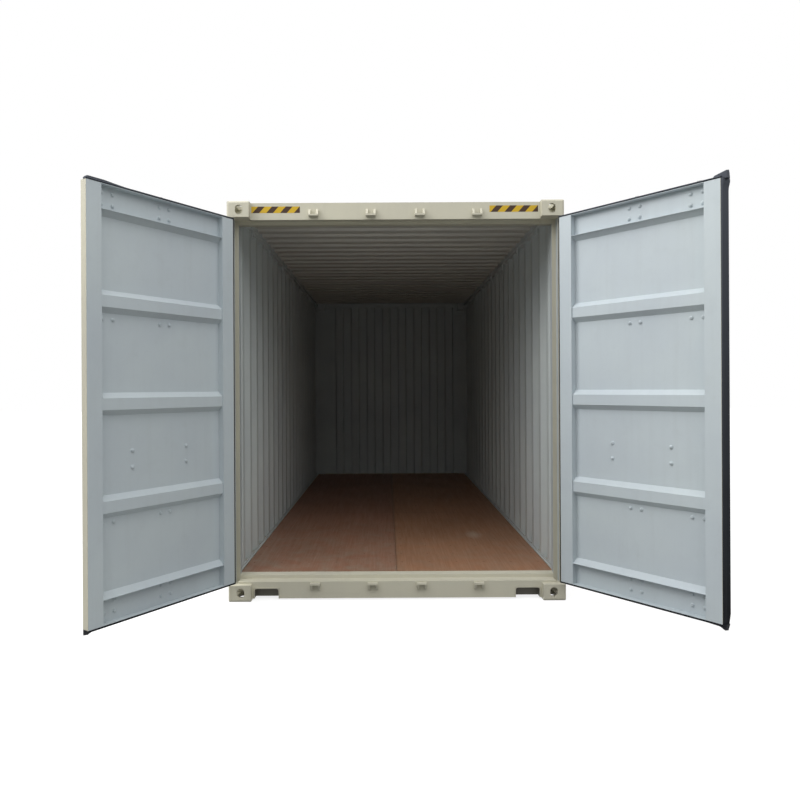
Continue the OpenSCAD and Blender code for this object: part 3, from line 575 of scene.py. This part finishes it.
def zinc_material():
    """Dull zinc on steel: a spangle of crystals, thin dirt and an uneven gloss."""
    colours = bpy.context.scene.container_colours
    made, tree, shader = new_material("dull_zinc")
    place = here(tree)
    cells = add(tree, "ShaderNodeTexVoronoi", {"Vector": place, "Scale": 70.0}).outputs["Color"]
    grey = add(tree, "ShaderNodeSeparateColor", {0: cells}).outputs[0]
    share = ramp(tree, grey, 0.0, 1.0, 0.0, 0.35)
    spangle = mixed(tree, share, rgba(colours.zinc), rgba(colours.crystal))
    dusty = use(tree, "Dust", Colour=spangle, Dust=rgba(colours.soil), Share=0.55)
    tree.links.new(dusty["Colour"], shader.inputs["Base Color"])
    tree.links.new(ramp(tree, grey, 0.0, 1.0, 0.38, 0.58), shader.inputs["Roughness"])
    tree.links.new(ramp(tree, dusty["Mask"], 0.0, 0.5, 0.8, 0.2), shader.inputs["Metallic"])
    bumped(tree, shader, noise(tree, place, 140.0, 3.0), distance=0.0004, strength=0.4)
    return made


def board_tint(tree, place, run, side):
    """Tint of the floor: each board's own level, times a slow cloud, times the colour of its run."""
    key = add(tree, "ShaderNodeCombineXYZ", {0: math_node(tree, "FLOOR", run), 1: side, 2: 0.5}).outputs[0]
    tone = add(tree, "ShaderNodeTexWhiteNoise", {"Vector": key}, noise_dimensions="3D").outputs[0]
    cloud = noise(tree, place, 1.6, 4.0, 0.6)
    level = times(tree, ramp(tree, tone, 0.0, 1.0, 0.94, 1.06), ramp(tree, cloud, 0.3, 0.7, 0.90, 1.10))
    run_shares = ((0.91, 1.08), (0.86, 1.05), (0.89, 0.95))
    shades = [times(tree, level, ramp(tree, side, -1.0, 1.0, left, right)) for left, right in run_shares]
    return add(tree, "ShaderNodeCombineColor", dict(enumerate(shades))).outputs[0]


def board_seams(tree, run, across, board):
    """Mask of the seams: a thin one at each board's end, and a soft one along the floor's middle."""
    offset = minus(tree, math_node(tree, "FRACT", plus(tree, run, 0.5)), 0.5)
    from_end = times(tree, math_node(tree, "ABSOLUTE", offset), board)
    ends = times(tree, ramp(tree, from_end, 0.0012, 0.0035, 1.0, 0.0), 0.7)
    return most(tree, ends, ramp(tree, math_node(tree, "ABSOLUTE", across), 0.003, 0.024, 0.22, 0.0))


def scuff_mask(tree, place, middle):
    """Mask of one long scuff: it fades with the distance from its middle, which counts less along X."""
    squeeze = 0.4
    squeezed = stretched(tree, place, (squeeze, 1.0, 0.0))
    away = add(tree, "ShaderNodeVectorMath", {0: squeezed, 1: (squeeze * middle[0], middle[1], 0.0)},
               operation="DISTANCE").outputs["Value"]
    return ramp(tree, away, 0.015, 0.085, 0.6, 0.0)


def plywood_material():
    """Stained plywood: grain and pores, tinted boards, dark seams, dust at the doorway and a scuff."""
    colours = bpy.context.scene.container_colours
    sizes = bpy.context.scene.container_sizes
    made, tree, shader = new_material("plywood_floor")
    place = here(tree)
    axes = axes_of(tree, place)
    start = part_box("left_floor_boards")[1].x
    run = math_node(tree, "DIVIDE", minus(tree, start, axes["X"]), sizes.board)
    side = math_node(tree, "SIGN", axes["Y"])
    grain = noise(tree, stretched(tree, place, (0.9, 26.0, 1.0)), 3.0, 6.0, 0.62)
    pores = noise(tree, stretched(tree, place, (9.0, 300.0, 1.0)), 1.0, 2.0, 0.6)
    dark = plus(tree, ramp(tree, grain, 0.32, 0.76, 0.16, 0.46), ramp(tree, pores, 0.55, 0.80, 0.0, 0.12))
    stain = mixed(tree, dark, rgba(colours.ply), rgba(colours.ply_dark))
    stain = mixed(tree, 1.0, stain, board_tint(tree, place, run, side), "MULTIPLY")
    seam = board_seams(tree, run, axes["Y"], sizes.board)
    stain = mixed(tree, seam, stain, rgba(colours.ply_seam))
    tread_length = 2.2
    tread = times(tree, ramp(tree, axes["X"], start - tread_length, start, 0.10, 0.62),
                  ramp(tree, side, -1.0, 1.0, 1.9, 1.0))
    dusty = use(tree, "Dust", Colour=stain, Dust=rgba(colours.ply_dust), Share=tread)
    scuffed = mixed(tree, scuff_mask(tree, place, sizes.scuff), dusty["Colour"], rgba(colours.ply_scuff))
    tree.links.new(scuffed, shader.inputs["Base Color"])
    tree.links.new(ramp(tree, grain, 0.3, 0.7, 0.42, 0.60), shader.inputs["Roughness"])
    shader.inputs["Specular IOR Level"].default_value = 0.4
    relief = minus(tree, times(tree, grain, 0.3), seam)
    bumped(tree, shader, relief, distance=0.0015, strength=0.6)
    return made


def stripe_material(low):
    """Warning stripes that lean to the right, measured from a foil's low left corner.

    The distance across, less a share of the height, is cut by the pitch, and a dark bar fills part of it.
    """
    colours = bpy.context.scene.container_colours
    lean_share, bar_start, bar_end, blur = 0.89, 0.075, 0.565, 0.01
    made, tree, shader = new_material("warning_stripes")
    axes = axes_of(tree, here(tree))
    lean = times(tree, minus(tree, axes["Z"], low[2]), lean_share)
    across = minus(tree, minus(tree, axes["Y"], low[1]), lean)
    pitch = bpy.context.scene.container_sizes.stripe_pitch
    turn = math_node(tree, "FRACT", math_node(tree, "DIVIDE", across, pitch))
    bar = times(tree, ramp(tree, turn, bar_start - blur, bar_start + blur),
                ramp(tree, turn, bar_end - blur, bar_end + blur, 1.0, 0.0))
    base = mixed(tree, bar, rgba(colours.stripe_light), rgba(colours.stripe_dark))
    coated(tree, shader, base, soil_share=0.08, specular=0.2)
    return made


def rubber():
    """The seals' material, made on first use."""
    return bpy.data.materials.get("rubber_sheen_and_dust") or rubber_material()


def dress(material, *nodes):
    """Gives CAD nodes a material by their material slots."""
    for name in nodes:
        slots = frame["nodes"][name].data.materials
        slots.clear()
        slots.append(material)


# Pieces

class CONTAINER_OT_paint_frame(bpy.types.Operator):
    """Paints the castings, posts, rails, header, sill, hinges and vents."""
    bl_idname = "container.paint_frame"
    bl_label = "Paint the frame"

    def execute(self, context):
        colours = context.scene.container_colours
        cream = colours.cream
        dress(painted("cream_paint", cream), "bottom_side_rails", "front_bottom_rail", "forklift_pockets",
              "hinge_lugs", "left_hinge_blades", "right_hinge_blades", "side_vents", "header_keepers")
        # Faces that look down take the header underside colour, a painted shade under the header.
        dress(painted("header_paint_shaded_under", cream, inner=colours.under, cut=-0.5), "door_header")
        dress(painted("casting_paint", cream, inner=colours.wall, outward=(-1, 1, 0.8), cut=0.2,
                      both_sides=1.0, **past_x(0.0)), "top_corner_castings")
        # Inward faces of the posts and J-bars take the greyer jamb colour, a painted shade.
        dress(painted("post_paint", cream, inner=colours.jamb_shade, outward=(1, 1, 0), cut=0.2, both_sides=1.0),
              "rear_posts", "rear_j_bars")
        # A brighter cream with less soil: painted light on the sill, its keepers and the lower castings.
        dress(painted("sill_paint_lit", colours.sill, soil_share=0.05), "door_sill", "sill_keepers",
              "bottom_corner_castings")
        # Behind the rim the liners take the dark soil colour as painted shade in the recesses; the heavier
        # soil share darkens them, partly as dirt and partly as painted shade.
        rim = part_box("sill_liners")[1].x - LINER_RIM
        dress(painted("liner_paint_shaded", cream, soil_share=0.30, inner=colours.soil, outward=(0, 0, 0), cut=0.5,
                      **past_x(rim)), "sill_liners")
        dress(painted("side_rail_paint", cream, inner=colours.wall, outward=(0, 1, 0.8), cut=0.3,
                      both_sides=1.0), "top_side_rails")
        dress(painted("end_rail_paint", cream, inner=colours.wall, outward=(-1, 0, 0.8), cut=0.3),
              "front_top_rail")
        dress(painted("end_post_paint", cream, inner=colours.wall, outward=(-0.7, 0.7, 0), cut=0.2,
                      both_sides=1.0), "front_posts")
        return {"FINISHED"}


class CONTAINER_OT_paint_walls(bpy.types.Operator):
    """Paints the walls and roof, cream outside and pale grey inside."""
    bl_idname = "container.paint_walls"
    bl_label = "Paint the walls"

    def execute(self, context):
        colours = context.scene.container_colours
        walls = {"left_side_wall": (0, -1, 0), "right_side_wall": (0, 1, 0), "front_wall": (-1, 0, 0)}
        for node, outward in walls.items():
            dress(painted(node + "_paint", colours.cream, inner=colours.wall, outward=outward), node)
        dress(painted("roof_paint", colours.cream, inner=colours.ceiling), "roof_panel")
        dress(painted("inner_paint", colours.wall, soil_share=0.15), "floor_guides", "lashing_rings")
        dress(painted("base_paint", colours.cream, soil_share=0.30), "cross_members")
        return {"FINISHED"}


class CONTAINER_OT_paint_doors(bpy.types.Operator):
    """Paints both leaves, pale grey inside and cream on the outside and the edges, and their lock gear."""
    bl_idname = "container.paint_doors"
    bl_label = "Paint the doors"

    def execute(self, context):
        colours = context.scene.container_colours
        zinc = zinc_material()
        for side in SIDES:
            leaf = Leaf(side)
            middle, half = (leaf.hinge_u + leaf.free_u) / 2, (leaf.free_u - leaf.hinge_u) / 2
            paint = painted(side + "_door_paint", colours.cream, inner=colours.inner, outward=tuple(leaf.v),
                            cut=0.3, along=tuple(leaf.u), middle=leaf.pin @ leaf.u + middle,
                            edge=half - 3 * EDGE_BLUR, leaf=leaf)
            dress(paint, side + "_door_frame", side + "_door_panel")
            dress(zinc, side + "_lock_rods", side + "_rod_brackets", side + "_handles",
                  side + "_handle_retainers")
        return {"FINISHED"}


class CONTAINER_OT_floor(bpy.types.Operator):
    """Finishes the plywood floor and drives its screws, in rows over the cross members."""
    bl_idname = "container.floor"
    bl_label = "Finish the floor"

    def execute(self, context):
        dress(plywood_material(), "left_floor_boards", "right_floor_boards")
        low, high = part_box("right_floor_boards")
        edges = np.unique(np.round(node_points("cross_members")[:, 0], 3))
        starts = edges[np.concatenate([[True], np.diff(edges) > MEMBER_GAP])]
        across = np.linspace(low.y + SCREW_MARGIN, high.y - SCREW_MARGIN, SCREWS_ACROSS)
        x, y, side = np.meshgrid(starts + FLANGE_MIDDLE, across, list(SIDES.values()), indexing="ij")
        centres = np.stack([x, y * side, np.full_like(x, high.z)], -1).reshape(-1, 1, 1, 3)
        shares = np.array([[0, -0.6], [0.85, -0.6], [1, 0.06], [0.8, 0.12], [0.34, 0.10], [0.3, -0.2],
                           [0, -0.2]])
        profile = context.scene.container_sizes.screw_radius * shares
        head, faces = turned(profile, segments=12, count=len(centres))
        dull = painted("screw_steel", context.scene.container_colours.ply_dark, soil_share=0.5)
        add_piece("floor_screws", centres + head, faces, dull, "container")
        return {"FINISHED"}


def collar_profile(r, h):
    """Section of a bolt's collar on its washer, as radius and height pairs from the foot to the tip."""
    sunk, washer_edge, washer = -0.002, 0.0018, 0.0026
    return np.array([[0, sunk], [1.35 * r, sunk], [1.35 * r, washer_edge], [1.05 * r, washer], [r, 0.3 * h],
                     [0.9 * r, 0.85 * h], [0.72 * r, h], [0.42 * r, h], [0.4 * r, 1.25 * h], [0, 1.3 * h]])


class CONTAINER_OT_bolts(bpy.types.Operator):
    """Sets the lock gear's bolts on the leaves' inner faces."""
    bl_idname = "container.bolts"
    bl_label = "Set the bolts"

    def seats(self, leaf):
        """The u, v and z of each bolt: pairs astride the rods, and a row beside each at the retainers."""
        low, high = leaf.extent(leaf.side + "_lock_rods")
        rods = (low[0] + ROD_RADIUS, high[0] - ROD_RADIUS)
        web, sheet = leaf.outer_v - WEB_THICKNESS, leaf.outer_v - SHEET_THICKNESS
        levels = [(z, web) for z in FRAME_BOLT_HEIGHTS] + [(z, sheet) for z in PANEL_BOLT_HEIGHTS]
        pairs = [(u + offset, v, leaf.low + z) for u in rods for offset in BRACKET_BOLT_OFFSETS
                 for z, v in levels]
        rows = [(u - RETAINER_BOLT_OFFSET, sheet, leaf.low + z) for u in rods
                for z in RETAINER_BOLT_HEIGHTS]
        return np.array(pairs + rows)

    def execute(self, context):
        sizes = context.scene.container_sizes
        profile = collar_profile(sizes.collar_radius, sizes.collar_height)
        # The heavier soil share darkens the bolts below the door paint, partly as dirt and partly as
        # painted shade.
        finish = painted("bolt_paint_dirt_and_shade", context.scene.container_colours.inner, soil_share=0.35)
        for side in SIDES:
            leaf = Leaf(side)
            seats = self.seats(leaf)
            collar, faces = turned(profile, segments=14, count=len(seats))
            u, v, z = seats.T[:, :, None, None]
            points = leaf.place(u + collar[..., 0], v - collar[..., 2], z + collar[..., 1])
            add_piece(side + "_door_bolts", points, faces, finish, leaf.body)
        return {"FINISHED"}


def lipped_profile():
    """Section of the lipped seal: reach past the leaf's edge and depth behind its inner face, in metres."""
    return np.array([[-0.0005, 0.0262], [0.006, 0.0275], [0.0105, 0.0245], [0.0132, 0.0175],
                     [0.0138, 0.009], [0.0118, 0.001], [0.0088, -0.0035], [0.006, -0.0042],
                     [0.0052, -0.0022], [0.0074, 0.0025], [0.0086, 0.009], [0.0078, 0.0155],
                     [0.004, 0.0192], [-0.0005, 0.0196]])


def centre_profile():
    """Section of the wide centre seal: share of its reach, and depth behind the inner face in metres."""
    return np.array([[-0.02, 0.0005], [0.34, 0.0015], [0.46, 0.006], [0.48, 0.021], [0.62, 0.031],
                     [0.92, 0.037], [1.0, 0.041], [0.94, 0.0455], [0.6, 0.0475], [-0.02, 0.0478]])


class CONTAINER_OT_seals(bpy.types.Operator):
    """Fits the lipped rubber seals round both leaves and the wide centre seal on the right leaf."""
    bl_idname = "container.seals"
    bl_label = "Fit the seals"

    def lipped_sections(self, leaf):
        """The lipped section at the corners of a path along the leaf's lower, hinge and upper edges.

        Each corner has its u and z, and the shares of the reach that lead outwards along them.
        """
        reach, depth = lipped_profile().T
        hinge_share = -0.6
        path = np.array([[leaf.free_u, leaf.low, 0, -1], [leaf.hinge_u, leaf.low, hinge_share, -1],
                         [leaf.hinge_u, leaf.top, hinge_share, 1], [leaf.free_u, leaf.top, 0, 1]])
        u, z, along, up = path.T[:, :, None]
        return leaf.place(u + along * reach, leaf.inner_v + depth, z + up * reach)

    def centre_sections(self, leaf, lip):
        """The centre seal's section up the free edge, narrow at its foot and flared at its upper end."""
        share, depth = centre_profile().T
        foot, head = 0.06, 0.08
        flare = leaf.top - np.array([0.075, 0.055, 0.022, 0.0])
        z = np.concatenate([np.linspace(leaf.low, leaf.low + foot, 5),
                            np.linspace(leaf.top - head, leaf.top, 9)])
        reach_shares = (0.68, 1.0, 1.0, 1.04, 1.36, 1.26)
        reach = lip * np.interp(z, [leaf.low, leaf.low + foot, *flare], reach_shares)
        return leaf.place(leaf.free_u + reach[:, None] * share, leaf.inner_v + depth, z[:, None])

    def execute(self, context):
        for side in SIDES:
            leaf = Leaf(side)
            sections = self.lipped_sections(leaf)
            seal = add_piece(side + "_lipped_seal", sections, swept(sections), rubber(),
                             leaf.body)
            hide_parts(side + "_door_seal")
        leaf = Leaf("right")
        sections = self.centre_sections(leaf, context.scene.container_sizes.centre_lip)
        seal = add_piece("right_wide_seal", sections, swept(sections), rubber(), leaf.body)
        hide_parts("right_centre_seal")
        root = leaf.place(leaf.free_u, 0.0, leaf.low)
        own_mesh(seal)
        return {"FINISHED"}


class CONTAINER_OT_seal_flaps(bpy.types.Operator):
    """Adds the seals' soft flaps and ears at the leaves' free corners."""
    bl_idname = "container.seal_flaps"
    bl_label = "Add the seal flaps"

    def flap(self, leaf, name, edge_z, rise, outline, depths, near_share=1.0, lean=0.0):
        """A fin on the leaf's upper or lower edge: a rounded wall whose height follows an outline.

        The outline holds distances from the free edge and shares of the rise, which is below zero on the
        lower edge. The fin lies between two depths behind the inner face, and near_share is its height at
        the first against that at the second. The lean is not used.
        """
        root_depth, stations = 0.002, 41
        run, shares = np.array(outline).T
        near, far = depths
        u = np.linspace(run[0], run[-1], stations)[:, None]
        across = np.array([0.0, 0.0, 0.06, 0.5, 0.94, 1.0, 1.0])
        up = np.array([0.0, 0.8, 1.0, 1.0, 1.0, 0.8, 0.0]) * (near_share + (1 - near_share) * across)
        z = edge_z + rise * np.interp(u, run, shares) * up - math.copysign(root_depth, rise) * (up == 0)
        sections = leaf.place(leaf.free_u + u, leaf.inner_v + near + (far - near) * across, z)
        piece = add_piece(name, sections, swept(sections), rubber(), leaf.body)
        root = leaf.place(leaf.free_u + run[0], 0.0, edge_z)
        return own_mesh(piece)

    def execute(self, context):
        sizes = context.scene.container_sizes
        left, right = Leaf("left"), Leaf("right")
        thick = left.outer_v - left.inner_v
        self.flap(left, "left_top_flap", left.top, sizes.flap_top,
                  [(-0.33, 0.4), (-0.19, 0.75), (-0.12, 1), (-0.012, 1), (-0.003, 0.8), (0, 0.4)],
                  depths=(0.001, 0.024))
        self.flap(left, "left_bottom_flap", left.low, -sizes.flap_low,
                  [(-0.14, 0.35), (-0.03, 0.5), (-0.012, 0.75), (-0.001, 1), (0, 0.95)],
                  depths=(0.001, thick - 0.001), near_share=0.6)
        self.flap(right, "right_upper_ear", right.top, sizes.ear_top,
                  [(-0.056, 0.25), (-0.044, 0.58), (0.027, 1), (0.030, 0.97), (0.033, 0.1)],
                  depths=(0.014, thick - 0.002), near_share=0.85, lean=math.radians(30))
        self.flap(right, "right_lower_ear", right.low, -sizes.ear_low,
                  [(-0.30, 0.22), (-0.19, 0.27), (-0.016, 0.5), (0.012, 1), (0.015, 0.95), (0.021, 0.15)],
                  depths=(0.001, thick - 0.002), near_share=0.8)
        return {"FINISHED"}


class CONTAINER_OT_stripes(bpy.types.Operator):
    """Lays the yellow and dark warning stripes on both ends of the header."""
    bl_idname = "container.stripes"
    bl_label = "Lay the warning stripes"

    def execute(self, context):
        sizes = context.scene.container_sizes
        proud, thickness, rows, cols = 0.0004, 0.001, 3, 9
        header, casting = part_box("door_header")[1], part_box("top_corner_castings")[1]
        face, top = header.x + proud, header.z - sizes.stripe_drop
        inner = casting.y - CASTING_WIDTH
        left = -inner + sizes.stripe_gap[0]
        right = inner - sizes.stripe_gap[1] - sizes.stripe_length
        for name, start in (("left_warning_stripes", left), ("right_warning_stripes", right)):
            low = (face, start, top - sizes.stripe_height)
            across, up = np.meshgrid(np.linspace(start, start + sizes.stripe_length, cols),
                                     np.linspace(low[2], top, rows))
            sheet = np.stack([np.full_like(across, face), across, up], -1)
            points = np.stack([sheet, sheet - [thickness, 0, 0]])
            add_piece(name, points, plate_faces(rows, cols), stripe_material(low),
                      "container", smooth=False)
        return {"FINISHED"}


class CONTAINER_OT_stage(bpy.types.Operator):
    """Sets up the pale floor, the even sky, two soft lamps and the camera."""
    bl_idname = "container.stage"
    bl_label = "Set up the studio"

    def seen(self, tree):
        """1 for rays that look at the background straight, in a reflection or through glass."""
        path = add(tree, "ShaderNodeLightPath").outputs
        first = most(tree, path["Is Camera Ray"], path["Is Glossy Ray"])
        return most(tree, first, path["Is Transmission Ray"])

    def sky(self, stage):
        """A sky that brightens evenly from the horizon upwards, and is white where it is seen."""
        world = bpy.data.worlds.new("studio_sky")
        tree = bare_tree(world)
        way = axes_of(tree, add(tree, "ShaderNodeTexCoord").outputs["Generated"])
        height = ramp(tree, way["Z"], 0.0, 1.0, stage.horizon, stage.sky)
        level = ramp(tree, self.seen(tree), 0.0, 1.0, height, 1.0)
        sky = add(tree, "ShaderNodeBackground", {"Color": rgba((1, 1, 1)), "Strength": level})
        add(tree, "ShaderNodeOutputWorld", {"Surface": sky.outputs[0]})
        return world

    def floor_material(self):
        """Grey for the light that it throws back, and near white with shadows where it is seen."""
        made = bpy.data.materials.new("studio_floor")
        tree = bare_tree(made)
        plain = add(tree, "ShaderNodeBsdfDiffuse", {"Color": rgba((0.25, 0.25, 0.24))}).outputs[0]
        shadow = add(tree, "ShaderNodeBsdfDiffuse", {"Color": rgba((0.3, 0.3, 0.3))}).outputs[0]
        glow = add(tree, "ShaderNodeEmission", {"Color": rgba((1, 1, 1)), "Strength": 0.8}).outputs[0]
        shown = add(tree, "ShaderNodeAddShader", {0: shadow, 1: glow}).outputs[0]
        both = add(tree, "ShaderNodeMixShader", {0: self.seen(tree), 1: plain, 2: shown}).outputs[0]
        add(tree, "ShaderNodeOutputMaterial", {"Surface": both})
        return made

    def floor(self, scene):
        """A wide flat grid just under the castings."""
        half, drop, count = 40, 0.0005, 3
        side = np.linspace(-half, half, count)
        x, y = np.meshgrid(side, side, indexing="ij")
        points = np.stack([x, y, np.full_like(x, -drop)], -1).reshape(-1, 3)
        mesh = bpy.data.meshes.new("studio_floor")
        mesh.from_pydata(points.tolist(), [], grid_faces(count, count, False)[:, ::-1].tolist())
        mesh.materials.append(self.floor_material())
        ground = bpy.data.objects.new("studio_floor", mesh)
        scene.collection.objects.link(ground)

    def lamp(self, scene, name, power, place, extent):
        """A soft rectangular lamp that looks at the middle of the door end."""
        light = bpy.data.lights.new(name, "AREA")
        light.shape = "RECTANGLE"
        light.size, light.size_y = extent
        light.energy = power
        made = bpy.data.objects.new(name, light)
        made.location = place
        made.rotation_euler = (Vector(place) - Vector(DOOR_END_MIDDLE)).to_track_quat("Z", "Y").to_euler()
        made.visible_camera = False
        scene.collection.objects.link(made)

    def camera(self, scene, stage):
        """A level camera that looks in at the door end, turned by the roll."""
        lens = bpy.data.cameras.new("photo_camera")
        lens.lens = stage.lens
        lens.sensor_width = 36.0
        lens.shift_x, lens.shift_y = stage.shift
        lens.clip_end = 200.0
        made = bpy.data.objects.new("photo_camera", lens)
        quarter = math.radians(90)
        made.matrix_world = (Matrix.Translation(stage.camera_place) @ Matrix.Rotation(quarter, 4, "Z")
                             @ Matrix.Rotation(quarter, 4, "X") @ Matrix.Rotation(stage.roll, 4, "Z"))
        scene.collection.objects.link(made)
        scene.camera = made

    def execute(self, context):
        scene = context.scene
        stage = scene.container_stage
        scene.world = self.sky(stage)
        self.floor(scene)
        self.lamp(scene, "key_lamp", stage.key, stage.key_place, stage.key_size)
        self.lamp(scene, "top_lamp", stage.top, stage.top_place, stage.top_size)
        self.camera(scene, stage)
        scene.view_settings.view_transform = "Standard"
        return {"FINISHED"}


OPERATORS = (CONTAINER_OT_paint_frame, CONTAINER_OT_paint_walls, CONTAINER_OT_paint_doors,
             CONTAINER_OT_floor, CONTAINER_OT_bolts, CONTAINER_OT_seals, CONTAINER_OT_seal_flaps,
             CONTAINER_OT_stripes, CONTAINER_OT_stage)
SETTINGS = {"container_colours": ContainerColours, "container_sizes": ContainerSizes,
            "container_stage": ContainerStage}


class CONTAINER_PT_looks(bpy.types.Panel):
    """Lists the steps and their settings."""
    bl_idname = "CONTAINER_PT_looks"
    bl_label = "Shipping container"
    bl_space_type = "VIEW_3D"
    bl_region_type = "UI"
    bl_category = "Container"

    def draw(self, context):
        for step in OPERATORS:
            self.layout.operator(step.bl_idname)
        for name, kind in SETTINGS.items():
            box = self.layout.box()
            box.label(text=kind.__doc__)
            for key in kind.__annotations__:
                box.prop(getattr(context.scene, name), key)


def register():
    """Registers the settings, the steps and the panel."""
    for name, kind in SETTINGS.items():
        bpy.utils.register_class(kind)
        setattr(bpy.types.Scene, name, PointerProperty(type=kind))
    for kind in (*OPERATORS, CONTAINER_PT_looks):
        bpy.utils.register_class(kind)


def unregister():
    """Takes them out again."""
    for kind in (CONTAINER_PT_looks, *reversed(OPERATORS)):
        bpy.utils.unregister_class(kind)
    for name, kind in SETTINGS.items():
        delattr(bpy.types.Scene, name)
        bpy.utils.unregister_class(kind)


def main():
    register()
    bpy.ops.container.paint_frame()
    bpy.ops.container.paint_walls()
    bpy.ops.container.paint_doors()
    bpy.ops.container.floor()
    bpy.ops.container.bolts()
    bpy.ops.container.seals()
    bpy.ops.container.seal_flaps()
    bpy.ops.container.stripes()
    bpy.ops.container.stage()


if __name__ == "__main__":
    main()
